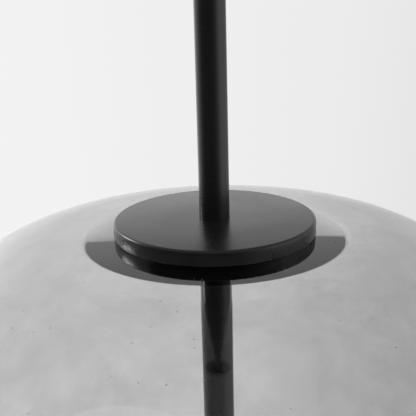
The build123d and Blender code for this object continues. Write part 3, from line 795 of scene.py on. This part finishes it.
softLamp = {
    # fade says where it starts to dim, as a share of its width from the middle, and where it ends
    "size": (0.95, 0.56), "place": (-1.9, 1.1, 1.98), "power": 30.0, "fade": (0.25, 0.5),
}


def addToneRamp(tree, share, stops):
    ramp = addNode(tree, "ShaderNodeValToRGB", {"Fac": share})
    ramp.color_ramp.interpolation = "EASE"
    elements = ramp.color_ramp.elements
    for index, (turn, tone) in enumerate(stops):
        place = (turn + 180) / 360
        # a new ramp has two stops already
        element = elements[index] if index < 2 else elements.new(place)
        element.position = place
        element.color = gray(tone)
    return ramp.outputs["Color"]


def makeToneGroup():
    # how bright the studio is in a direction: as the camera sees it, with painted shade, and in
    # reflections, with painted reflection tones
    group, given, result = newGroup(
        "studioTone",
        [("Direction", "NodeSocketVector", (0, 0, 0))],
        [("Backdrop And Shade", "NodeSocketColor"), ("Painted Reflection", "NodeSocketColor")],
    )
    axes = addNode(group, "ShaderNodeSeparateXYZ", {0: given["Direction"]}).outputs
    towardsCamera = addMaths(group, "MULTIPLY", axes["Y"], -1)
    turn = addMaths(group, "ARCTAN2", axes["X"], towardsCamera)
    share = addRange(group, turn, (-pi, pi))
    # painted reflections: the tones that glossy rays see
    paintedReflection = addToneRamp(group, share, studio["paintedReflection"])
    overhead = addRange(group, axes["Z"], studio["ceilingFrom"], curve="SMOOTHSTEP")
    group.links.new(addToneRamp(group, share, studio["backdropAndShade"]), result["Backdrop And Shade"])
    group.links.new(addMix(group, overhead, paintedReflection, gray(studio["ceiling"])), result["Painted Reflection"])
    return group


studioTone = makeToneGroup()


def seenTone(tree, direction):
    # the studio's brightness for this ray, with painted reflection tones for glossy rays, and a mask of 1
    # for camera, glossy and transmission rays
    rays = addNode(tree, "ShaderNodeLightPath").outputs
    tones = addNode(tree, "ShaderNodeGroup", {"Direction": direction}, node_tree=studioTone).outputs
    mask = addMaths(tree, "MAXIMUM", rays["Is Camera Ray"], rays["Is Glossy Ray"])
    mask = addMaths(tree, "MAXIMUM", mask, rays["Is Transmission Ray"])
    return addMix(tree, rays["Is Glossy Ray"], tones["Backdrop And Shade"], tones["Painted Reflection"]), mask


def makeFloor():
    deselect()
    bpy.ops.mesh.primitive_circle_add(
        vertices=studio["floorSegments"], radius=studio["floorRadius"], fill_type="NGON"
    )
    floor = bpy.context.object
    floor.name = "floor"
    material = bpy.data.materials.new("floor")
    material.use_nodes = True
    tree = material.node_tree
    tree.nodes.clear()
    place = addNode(tree, "ShaderNodeTexCoord").outputs["Object"]
    outward = addNode(tree, "ShaderNodeVectorMath", {0: place}, operation="NORMALIZE").outputs[0]
    distance = addNode(tree, "ShaderNodeVectorMath", {0: place}, operation="LENGTH").outputs["Value"]
    tone, mask = seenTone(tree, outward)
    # the glow shows the studio's painted shade to the camera and its painted reflection tones to glossy
    # rays
    glow = addNode(tree, "ShaderNodeEmission", {"Color": tone})
    paint = addNode(tree, "ShaderNodeBsdfDiffuse", {"Color": gray(studio["floorColor"])})
    fade = addRange(tree, distance, studio["floorFade"], studio["floorGlow"], curve="SMOOTHSTEP")
    share = addMaths(tree, "MULTIPLY", mask, fade)
    mix = addNode(tree, "ShaderNodeMixShader", {"Fac": share, 1: paint.outputs[0], 2: glow.outputs[0]})
    addNode(tree, "ShaderNodeOutputMaterial", {"Surface": mix.outputs[0]})
    floor.data.materials.append(material)


def makeWorld():
    world = bpy.data.worlds.new("studio")
    bpy.context.scene.world = world
    world.use_nodes = True
    tree = world.node_tree
    tree.nodes.clear()
    direction = addNode(tree, "ShaderNodeTexCoord").outputs["Generated"]
    tone, mask = seenTone(tree, direction)
    # the sky shows the same painted shade and painted reflection tones to camera, glossy and transmission
    # rays, and even ambient light to the rest
    color = addMix(tree, mask, gray(studio["ambient"]), tone)
    background = addNode(tree, "ShaderNodeBackground", {"Color": color})
    addNode(tree, "ShaderNodeOutputWorld", {"Surface": background.outputs[0]})


def makeSun():
    # lights the coats and the floor, and leaves no disc in the glass
    deselect()
    turn = [radians(angle) for angle in sunlight["turn"]]
    bpy.ops.object.light_add(type="SUN", location=sunlight["place"], rotation=turn)
    sun = bpy.context.object
    sun.name = "softSun"
    sun.data.energy = sunlight["strength"]
    sun.data.angle = radians(sunlight["angle"])
    sun.visible_glossy = False


def makeSoftbox():
    place = Vector(softLamp["place"])
    aim = (Vector((0, 0, capTop)) - place).to_track_quat("-Z", "Y").to_euler()
    deselect()
    bpy.ops.object.light_add(type="AREA", location=place, rotation=aim)
    softbox = bpy.context.object
    softbox.name = "softbox"
    softbox.data.shape = "RECTANGLE"
    softbox.data.size, softbox.data.size_y = softLamp["size"]
    softbox.data.energy = softLamp["power"]
    softbox.data.use_nodes = True
    softenBox(softbox.data.node_tree)


def softenBox(tree):
    # it dims from its middle to its edges, and reaches nothing that is seen through the glass,
    # where a ray's transmission depth is 1 or more
    rays = addNode(tree, "ShaderNodeLightPath").outputs
    strength = addMaths(tree, "LESS_THAN", rays["Transmission Depth"], 0.5)
    # the place on its face, from 0 to 1 both ways
    across = addNode(tree, "ShaderNodeNewGeometry").outputs["Parametric"]
    axes = addNode(tree, "ShaderNodeSeparateXYZ", {0: across}).outputs
    fadeFrom, fadeTo = softLamp["fade"]
    for axis in ("X", "Y"):
        fromMiddle = addMaths(tree, "ABSOLUTE", addMaths(tree, "SUBTRACT", axes[axis], 0.5))
        fade = addRange(tree, fromMiddle, (fadeTo, fadeFrom), curve="SMOOTHSTEP")
        strength = addMaths(tree, "MULTIPLY", fade, strength)
    tree.links.new(strength, tree.nodes["Emission"].inputs["Strength"])


makeFloor()
makeWorld()
makeSun()
makeSoftbox()
bpy.context.scene.view_settings.view_transform = "Standard"
print("studio ready")
